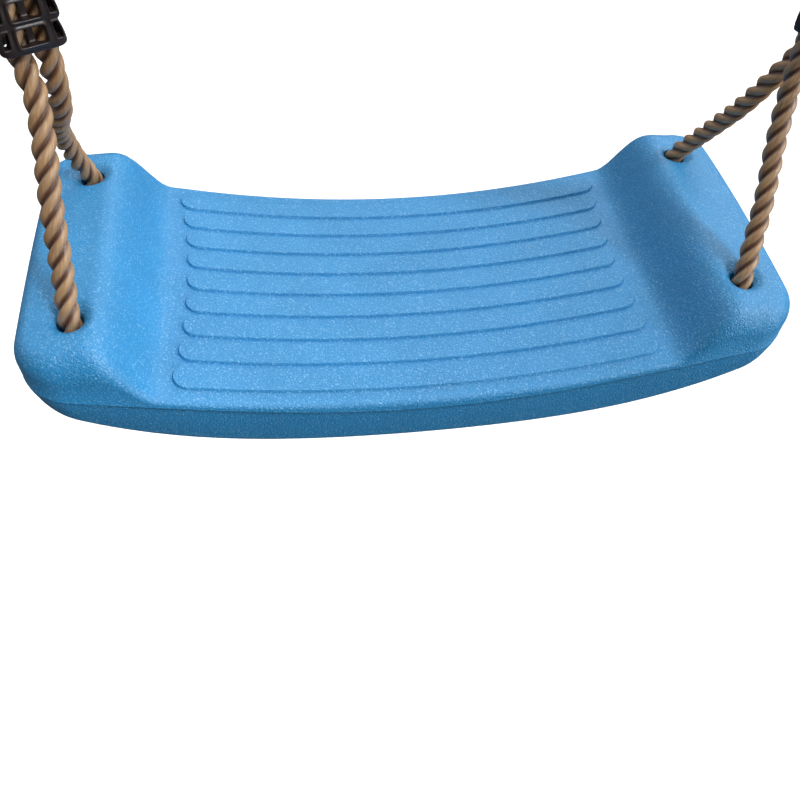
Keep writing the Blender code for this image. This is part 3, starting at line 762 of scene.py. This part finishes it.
ROPE_SHADE = (0.185, 0.072, 0.030)
ROPE_LIGHT = (0.500, 0.315, 0.155)
ROPE_DUST = (0.16, 0.10, 0.065)
# painted shade: the dark colour that the rope takes in the grooves between its strands
GROOVE_PAINTED_SHADE = (0.070, 0.022, 0.012)


def rope_material():
    """Golden polypropylene yarn: fine fibres slanting along each strand, with painted shade in the grooves
    between strands.
    """
    shader = Shader("tan_laid_rope")
    uv = shader.node("ShaderNodeUVMap").outputs["UV"]
    where = shader.place()
    parts = shader.node("ShaderNodeSeparateXYZ", {"Vector": uv})
    slant = shader.maths("ADD", parts.outputs["X"], shader.maths("MULTIPLY", parts.outputs["Y"], 0.8))
    fibre_place = shader.node("ShaderNodeCombineXYZ", {"X": slant, "Y": parts.outputs["Y"]}).outputs[0]
    fibre = shader.noise(shader.stretched(fibre_place, (150.0, 7.0, 1.0)), 1.0, 4.0, 0.65, 0.3)
    thread = shader.noise(shader.stretched(fibre_place, (46.0, 2.2, 1.0)), 1.0, 2.0, 0.5)
    crown = shader.maths("COSINE", shader.maths("MULTIPLY", parts.outputs["X"], 2.0 * math.pi * STRANDS))
    cloud = shader.noise(where, 55.0, 3.0)
    tone = shader.mix(shader.ramp(thread, (0.28, 0.40), (0.72, 1.0)), ROPE_SHADE, ROPE_LIGHT)
    tone = shader.mix(shader.ramp(cloud, (0.40, 0.0), (0.75, 0.45)), tone, ROPE_DUST)
    # painted shade: darker toward the grooves between the strands, none on their crowns
    groove = shader.maths("MULTIPLY", shader.maths("ADD", crown, 1.0), 0.5)
    tone = shader.mix(shader.ramp(groove, (0.0, 0.92), (0.16, 0.75), (0.48, 0.0)), tone, GROOVE_PAINTED_SHADE)
    height = shader.maths("ADD", shader.maths("MULTIPLY", fibre, 0.5), shader.maths("MULTIPLY", thread, 0.6))
    return shader.set(colour=tone, roughness=shader.ramp(fibre, (0.3, 0.28), (0.8, 0.42)), specular=0.7,
                      normal=shader.bump(height, 0.00032, 0.8), sheen=0.10, sheen_roughness=0.4)


def melted_material():
    """Rope end sealed by melting: dark, glossy and uneven."""
    shader = Shader("melted_rope_end")
    lump = shader.noise(shader.place(), 420.0, 3.0)
    tone = shader.mix(lump, (0.10, 0.055, 0.025), (0.24, 0.14, 0.07))
    return shader.set(colour=tone, roughness=shader.ramp(lump, (0.3, 0.25), (0.7, 0.45)), specular=0.5,
                      normal=shader.bump(lump, 0.0006, 0.6))


def tight_overhand(thickness, rounds=180, step=0.0024, reach=0.060):
    """Centre line of an overhand knot pulled tight: drawn loose, then shrunk while it may not overlap."""
    t = np.linspace(-2.15, 2.15, 120)
    line = np.column_stack([(t ** 3 - 3.0 * t) * 0.0080, (t ** 4 - 4.0 * t * t) * 0.0065,
                            (t ** 5 - 10.0 * t) * 0.0024])
    low, high = np.array((0.0, 0.0, -reach)), np.array((0.0, 0.0, reach))
    line, _ = spaced(np.vstack([low, line, high]), step)
    settle = rounds - 20
    for turn in range(rounds):
        if turn < settle:
            line[1:-1] *= (0.994, 0.994, 0.990) if turn < rounds * 0.7 else 0.997
        line, _ = spaced(line, step)
        order = np.arange(len(line))
        beside = np.abs(order[:, None] - order[None]) * step > thickness * 1.7
        for _ in range(4):
            apart = line[:, None] - line[None]
            distance = np.linalg.norm(apart, axis=2)
            near = (distance < thickness) & beside
            push = np.where(near, (thickness - distance) * 0.5 / np.maximum(distance, 1e-9), 0.0)
            shift = (apart * push[..., None]).sum(axis=1) / np.maximum(near.sum(axis=1), 1)[:, None]
            line[1:-1] += shift[1:-1]
            line[1:-1] += ((line[:-2] + line[2:]) / 2.0 - line[1:-1]) * (0.5 if turn < settle else 0.15)
        line[0], line[-1] = low, high
    return line


KNOT_THICKNESS = 0.0106  # a tight knot squeezes its rope
KNOT_FOOT = -0.0215
KNOT_TIP = 0.0245
KNOT_FADE = 0.012  # length in which the knot leaves its rope's line
overhand = tight_overhand(KNOT_THICKNESS)


def knot_line(name, foot):
    """The knot's centre line, standing on the rope's end and bulging away from the other rope."""
    inside = np.where((overhand[:, 2] > KNOT_FOOT) & (overhand[:, 2] < KNOT_TIP))[0]
    line = overhand[inside[0]:inside[-1] + 1]
    away = channel_offset(name).normalized()
    turn = math.atan2(away.x, -away.y)
    spin = np.array(((math.cos(turn), math.sin(turn), 0.0), (-math.sin(turn), math.cos(turn), 0.0),
                     (0.0, 0.0, 1.0)))
    line = line @ spin
    offset = np.array(foot) - line[0]
    settled = np.array((foot[0], foot[1], offset[2]))
    fade = 1.0 - smoothstep(distances(line) / KNOT_FADE)
    line = line + settled + (offset - settled)[None] * fade[:, None]
    return [Vector(point) for point in line[2:]]


rope_finish = rope_material()
melted_finish = melted_material()
for name in SIDES:
    route_curve = smooth_curve(rope_route(name))
    _, stations = spaced(route_curve, RING_STEP)
    whole = route_curve + smooth_curve([route_curve[-1]] + knot_line(name, tuple(route_curve[-1])), 4)[1:]
    line, along = spaced(whole, RING_STEP)
    split = int(np.argmin(np.abs(along - stations[-1])))
    rope = rope_mesh("laid_rope_" + name, line, along, 0, split, (True, False))
    knot = rope_mesh("overhand_knot_" + name, line, along, split, len(line) - 1, (False, True))
    for piece, node in ((rope, "rope_"), (knot, "stopper_knot_")):
        piece.data.materials.append(rope_finish)
        piece.data.materials.append(melted_finish)
        piece.data.shade_smooth()
        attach(piece, "swing")
        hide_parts(node + name)


# ---- adjusters ----------------------------------------------------------------------
LOBE_NOTCH = LOBE_NARROW - 0.0003
LOBE_SWELL = 0.16  # share of a lobe's height in which it swells; above that it tapers
ADJUSTER_TOP = LOBE_BASE + LOBE_COUNT * LOBE_PITCH + 0.0006
ADJUSTER_LEVELS = 80
END_TUCK = 0.0012
RIM_REACH = 0.0093
RIM_WIDTH = (0.0012, 0.0011)
POCKET_RIM = (0.0007, 0.0088)  # its width and how far out it reaches
POCKET = ((0.0104, -0.0036, -1, -1), (0.0132, -0.0036, 1, -1), (0.0133, -0.0018, 1, 0),
          (0.0123, 0.0040, 1, 1), (0.0100, 0.0040, -1, 1))  # a corner, and which way its rim lies
PAST = 0.02  # well outside the body
ADJUSTER_VOXEL = 0.00038


def rounded_rectangle(half_u, half_v, radius, steps):
    outline = []
    for quarter in range(4):
        centre_u = (half_u - radius) * (1.0 if quarter in (0, 3) else -1.0)
        centre_v = (half_v - radius) * (1.0 if quarter in (0, 1) else -1.0)
        for step in range(steps + 1):
            turn = math.radians(90.0 * quarter + 90.0 * step / steps)
            outline.append((centre_u + radius * math.cos(turn), centre_v + radius * math.sin(turn)))
    return outline


def prism(mesh, outline, low, high, axis):
    """Add a closed solid between two planes; the outline is in x, y for 'Z' and in x, z for 'Y'."""
    if axis == "Z":
        near = [mesh.verts.new((u, v, low)) for u, v in outline]
        far = [mesh.verts.new((u, v, high)) for u, v in outline]
    else:
        near = [mesh.verts.new((u, high, v)) for u, v in outline]
        far = [mesh.verts.new((u, low, v)) for u, v in outline]
    mesh.faces.new(near[::-1])
    mesh.faces.new(far)
    for index in range(len(outline)):
        after = (index + 1) % len(outline)
        mesh.faces.new((near[index], near[after], far[after], far[index]))


def lobe_half_width(height):
    """Half width of the adjuster at a height: lobes that bulge low down and taper upward."""
    place = max(height - LOBE_BASE, 0.0) / LOBE_PITCH
    share = min(place - math.floor(place) if place < LOBE_COUNT else 1.0, 1.0)
    foot = LOBE_BASE + LOBE_SWELL * LOBE_PITCH
    if height < foot:
        return LOBE_WIDE - 0.0030 * (1.0 - math.sqrt(max(1.0 - (1.0 - height / foot) ** 2, 0.0)))
    if share < LOBE_SWELL:
        return LOBE_NOTCH + (LOBE_WIDE - LOBE_NOTCH) * math.sin(math.radians(90.0) * share / LOBE_SWELL)
    return LOBE_WIDE - (LOBE_WIDE - LOBE_NOTCH) * ((share - LOBE_SWELL) / (1.0 - LOBE_SWELL)) ** 1.9


def adjuster_body():
    """Stacked lobes, slimmer where they meet."""
    mesh = bmesh.new()
    loops = []
    for level in range(ADJUSTER_LEVELS + 1):
        height = ADJUSTER_TOP * level / ADJUSTER_LEVELS
        half_u = lobe_half_width(height)
        end = min(height, ADJUSTER_TOP - height)
        tuck = END_TUCK * (1.0 - min(end / END_TUCK, 1.0)) ** 2
        depth = BODY_HALF_DEPTH - 0.25 * (LOBE_WIDE - half_u) - tuck
        plan = rounded_rectangle(half_u - tuck, depth, 0.0034, 6)
        loops.append([mesh.verts.new((u, v, height)) for u, v in plan])
    return solid("adjuster_body", mesh, loops)


def channel_outline():
    """Two round bores for the rope's legs, which meet at a waist."""
    waist = math.acos(ROPE_SPACING / 2.0 / CHANNEL_RADIUS)
    outline = []
    for side in (1.0, -1.0):
        for turn in np.linspace(waist - math.pi, math.pi - waist, 49)[:-1]:
            outline.append((side * (ROPE_SPACING / 2.0 + CHANNEL_RADIUS * math.cos(turn)),
                            side * CHANNEL_RADIUS * math.sin(turn)))
    return outline


def adjuster_mesh():
    """Lobed body with two rope channels, framed windows and side pockets."""
    body = adjuster_body()
    rims, holes, channel = bmesh.new(), bmesh.new(), bmesh.new()
    half_u, half_v = WINDOW_HALF
    for lobe in range(LOBE_COUNT):
        middle = lobe * LOBE_PITCH + WINDOW_MIDDLE
        rim = rounded_rectangle(half_u + RIM_WIDTH[0], half_v + RIM_WIDTH[1], 0.0020, 4)
        prism(rims, [(u, v + middle) for u, v in rim], -RIM_REACH, RIM_REACH, "Y")
        window = [(u, v + middle) for u, v in rounded_rectangle(half_u, half_v, 0.0012, 4)]
        prism(holes, window, -PAST, -WINDOW_FLOOR, "Y")
        prism(holes, window, WINDOW_FLOOR, PAST, "Y")
        for sign in (-1.0, 1.0):
            for target, (grow, reach) in ((rims, POCKET_RIM), (holes, (0.0, PAST))):
                pocket = [(u + grow * out, middle + v + grow * up) for u, v, out, up in POCKET]
                if sign < 0:
                    pocket = [(-u, v) for u, v in reversed(pocket)]
                prism(target, pocket, -reach, -POCKET_FLOOR, "Y")
                prism(target, pocket, POCKET_FLOOR, reach, "Y")
    prism(channel, channel_outline(), -0.002, ADJUSTER_TOP + 0.002, "Z")
    tools = [(to_object("rim_tool", rims), "UNION"), (to_object("hole_tool", holes), "DIFFERENCE"),
             (to_object("channel_tool", channel), "DIFFERENCE")]
    for tool, operation in tools:
        combine(body, tool, operation)
    remesh = body.modifiers.new("even", "REMESH")
    remesh.mode = "VOXEL"
    remesh.voxel_size = ADJUSTER_VOXEL
    soften = body.modifiers.new("soften", "SMOOTH")
    soften.factor = 0.6
    soften.iterations = 4
    apply_modifiers(body)
    for tool, _ in tools:
        bpy.data.objects.remove(tool)
    data = body.data
    bpy.data.objects.remove(body)
    return data


def moulded_material(name, dark, light, grain):
    """Dark injection-moulded plastic, faintly uneven."""
    shader = Shader(name)
    where = shader.place()
    cloud = shader.noise(where, 90.0, 4.0)
    fine = shader.noise(where, grain, 2.0)
    rough = shader.ramp(cloud, (0.3, 0.30), (0.75, 0.44))
    return shader.set(colour=shader.mix(cloud, dark, light), roughness=rough, specular=0.5,
                      normal=shader.bump(fine, 0.00008, 0.6))


adjuster_brown = moulded_material("dark_brown_plastic", (0.013, 0.008, 0.008), (0.026, 0.017, 0.016), 1100.0)
adjuster_data = adjuster_mesh()
adjuster_data.materials.clear()
adjuster_data.materials.append(adjuster_brown)
adjuster_data.shade_smooth()
for name, side in SIDES.items():
    adjuster = add_object("rope_adjuster_" + name, adjuster_data.copy())
    adjuster.location = (side * ADJUSTER_X, 0.0, ADJUSTER_BOTTOM[name])
    adjuster.rotation_euler = (0.0, 0.0, math.radians(ADJUSTER_TURN[name]))
    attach(adjuster, "adjuster_" + name)
    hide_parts("adjuster_" + name)


# ---- rings, thimbles and ferrules ---------------------------------------------------
RING_STEPS = 112
WIRE_SIDES = 24
EYE_TIP_GAP = 0.0012
EYE_STEPS = 56
LIP_ANGLE = math.radians(78.0)
LIP_HALF_WIDTH = 0.0064
FERRULE_LEVELS = 45
FERRULE_SIDES = 96
FERRULE_BANDS = (0.22, 0.50, 0.78)  # shares of its height where the die pressed it in


def ring_object(name):
    """Round wire bent to a ring and welded at one side."""
    mesh = bmesh.new()
    loops = []
    for step in range(RING_STEPS):
        turn = 2.0 * math.pi * step / RING_STEPS
        weld = math.exp(-((turn - math.radians(100.0)) / 0.10) ** 2)
        loop = []
        for part in range(WIRE_SIDES):
            angle = 2.0 * math.pi * part / WIRE_SIDES
            wire = RING_WIRE + weld * (0.00045 + 0.00020 * math.sin(3.0 * angle + 0.7))
            out = RING_RADIUS + wire * math.cos(angle)
            loop.append(mesh.verts.new((out * math.sin(turn), wire * math.sin(angle),
                                        RING_RADIUS - out * math.cos(turn))))
        loops.append(loop)
    return hoop("hanging_ring_" + name, mesh, loops)


def eye_path(offset):
    """Teardrop of the thimble's eye in y, z, grown outward by an offset."""
    radius = EYE_RADIUS + offset
    tip = EYE_TIP_Z - offset * 0.6
    lean = math.asin(radius / (EYE_CENTRE_Z - tip))
    path = []
    for step in range(EYE_STEPS + 1):
        angle = -lean + (math.pi + 2.0 * lean) * step / EYE_STEPS
        path.append((radius * math.cos(angle), EYE_CENTRE_Z + radius * math.sin(angle)))
    sides = ((path[-1], -EYE_TIP_GAP, range(1, 13)), (path[0], EYE_TIP_GAP, range(12, 0, -1)))
    for (y, z), tip_y, steps in sides:
        for step in steps:
            share = step / 12.0
            path.append((y + (tip_y - y) * share, z + (tip - z) * share))
    return path


def thimble_object(name):
    """Moulded thimble: a smooth U-shaped groove with rounded lips, bent round the eye."""
    half = THIMBLE_HALF_WIDTH
    section = [(-half + 0.0006, 0.0), (0.0, 0.0), (half - 0.0006, 0.0), (half, 0.0008),
               (half + 0.0001, 0.0036), (half - 0.0002, 0.0043), (half - 0.0008, 0.0042)]
    for step in range(13):
        angle = LIP_ANGLE - 2.0 * LIP_ANGLE * step / 12
        section.append((LIP_HALF_WIDTH * math.sin(angle) / math.sin(LIP_ANGLE),
                        THIMBLE_WALL + 0.0020 * (1.0 - math.cos(angle))))
    section += [(-half + 0.0008, 0.0042), (-half + 0.0002, 0.0043), (-half - 0.0001, 0.0036),
                (-half, 0.0008)]
    mesh = bmesh.new()
    loops = [[mesh.verts.new((across, y, z)) for y, z in eye_path(out)] for across, out in section]
    return hoop("rope_thimble_" + name, mesh, loops)


def oval_point(part, radius):
    """Point of a stadium about the two rope legs, which lie apart along Y."""
    turn = 2.0 * math.pi * part / FERRULE_SIDES
    shift = LEG_APART * max(-1.0, min(1.0, math.sin(turn) / 0.55))
    return radius * math.cos(turn), shift + radius * math.sin(turn)


def ferrule_object(name):
    """Oval sleeve pressed round two rope legs: three shallow die bands and a flash line on each side."""
    inner = ROPE_RADIUS + 0.0003
    mesh = bmesh.new()
    loops = []
    for level in range(FERRULE_LEVELS + 1):
        share = level / FERRULE_LEVELS
        height = FERRULE_BOTTOM + (FERRULE_TOP - FERRULE_BOTTOM) * share
        end = min(share, 1.0 - share) * (FERRULE_TOP - FERRULE_BOTTOM)
        lip = 0.0011 * (1.0 - math.sqrt(max(1.0 - (1.0 - min(end / 0.0014, 1.0)) ** 2, 0.0)))
        band = 0.00035 * sum(math.exp(-((share - place) / 0.045) ** 2) for place in FERRULE_BANDS)
        loop = []
        for part in range(FERRULE_SIDES):
            turn = 2.0 * math.pi * part / FERRULE_SIDES
            flash = 0.0004 * math.exp(-(abs(math.sin(turn)) / 0.06) ** 2)
            wall = FERRULE_WALL - lip - band + flash
            loop.append(mesh.verts.new((*oval_point(part, inner + wall), height)))
        loops.append(loop)
    for height, flare in ((FERRULE_TOP, 0.0005), (FERRULE_TOP - 0.0008, 0.0), (FERRULE_BOTTOM + 0.0008, 0.0),
                          (FERRULE_BOTTOM, 0.0005)):
        loops.append([mesh.verts.new((*oval_point(part, inner + flare), height))
                      for part in range(FERRULE_SIDES)])
    return hoop("pressed_ferrule_" + name, mesh, loops)


def steel_material(name, light, dark, rough):
    """Galvanised steel: soft spangle, dull grey patches and fine scratches."""
    shader = Shader(name)
    where = shader.place()
    spangle = shader.node("ShaderNodeTexVoronoi", {"Vector": where, "Scale": 420.0}, feature="F1")
    cloud = shader.noise(where, 130.0, 4.0)
    fine = shader.noise(where, 900.0, 3.0)
    tone = shader.mix(shader.ramp(spangle.outputs["Color"], (0.2, 0.0), (0.8, 1.0)), dark, light)
    roughness = shader.ramp(cloud, (0.3, rough), (0.75, rough + 0.16))
    return shader.set(colour=tone, metallic=1.0, roughness=roughness, normal=shader.bump(fine, 0.00006, 0.5))


steel = steel_material("galvanised_steel_wire", (0.66, 0.67, 0.68), (0.46, 0.47, 0.49), 0.28)
alloy = steel_material("pressed_alloy", (0.74, 0.74, 0.74), (0.58, 0.58, 0.59), 0.34)
thimble_black = moulded_material("black_thimble_plastic_finish", (0.010, 0.010, 0.011),
                                 (0.022, 0.022, 0.024), 1500.0)
for name, side in SIDES.items():
    for made, body, node, slot, finish in (
            (ring_object(name), "hangers", "ring_", "galvanised_steel", steel),
            (thimble_object(name), "swing", "thimble_", "black_thimble_plastic", thimble_black),
            (ferrule_object(name), "swing", "ferrule_", "galvanised_steel", alloy)):
        made.data.materials.append(finish)
        made.data.shade_smooth()
        made.data.set_sharp_from_angle(angle=math.radians(50.0))
        made.location = (side * ADJUSTER_X, 0.0, 0.0)
        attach(made, body)
        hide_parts(node + name)


# ---- studio -------------------------------------------------------------------------
SKY_GLOW = 0.11
LIGHTS = (
    # name, direction it comes from, strength, degrees across
    ("back_light", Vector((0.42, 0.62, 0.66)), 1.20, 46.0),
    ("edge_light", Vector((0.85, 0.40, 0.33)), 0.35, 12.0),
    ("front_light", Vector((0.80, -0.52, 0.30)), 1.90, 60.0),
    ("overhead_light", Vector((-0.45, 0.28, 0.85)), 1.38, 100.0),
    ("top_light", Vector((0.48, -0.36, 0.80)), 1.55, 11.0),
)


def broad_light(name, direction, strength, degrees):
    """A very distant round light, that many degrees across, from that direction."""
    data = bpy.data.lights.new(name, "SUN")
    data.energy = strength
    data.angle = math.radians(degrees)
    lamp = add_object(name, data)
    lamp.rotation_euler = direction.to_track_quat("Z", "Y").to_euler()


def studio_surface(name, mesh, shades, grain_scale, roughness, specular, glow):
    """White surface that the camera sees, and that lights and mirrors nothing on the part."""
    made = to_object("studio_" + name, mesh)
    made.visible_diffuse = False
    made.visible_glossy = False
    shader = Shader("white_" + name)
    grain = shader.noise(shader.place(), grain_scale, 2.0)
    tone = shader.mix(grain, (shades[0],) * 3, (shades[1],) * 3)
    made.data.materials.append(shader.set(colour=tone, roughness=roughness, specular=specular,
                                          glow=(1.0, 1.0, 1.0), glow_strength=glow))
    return made


def build_studio():
    """White floor far below, white backdrop all round, an even faint sky, and the broad lights."""
    floor_mesh = bmesh.new()
    bmesh.ops.create_grid(floor_mesh, x_segments=1, y_segments=1, size=12.0)
    floor = studio_surface("floor", floor_mesh, (0.97, 0.99), 3.0, 0.9, 0.2, 0.15)
    floor.location = (0.0, 0.0, -1.6)
    backdrop_mesh = bmesh.new()
    bmesh.ops.create_uvsphere(backdrop_mesh, u_segments=48, v_segments=24, radius=11.0)
    bmesh.ops.reverse_faces(backdrop_mesh, faces=backdrop_mesh.faces[:])
    backdrop = studio_surface("backdrop", backdrop_mesh, (0.90, 0.94), 0.4, 1.0, 0.0, 1.0)
    backdrop.visible_shadow = False
    scene = bpy.context.scene
    world = bpy.data.worlds.new("studio_world")
    world.use_nodes = True
    background = world.node_tree.nodes["Background"]
    background.inputs["Color"].default_value = (0.96, 0.98, 1.0, 1.0)
    background.inputs["Strength"].default_value = SKY_GLOW
    scene.world = world
    scene.view_settings.view_transform = "Standard"
    for light in LIGHTS:
        broad_light(*light)


build_studio()
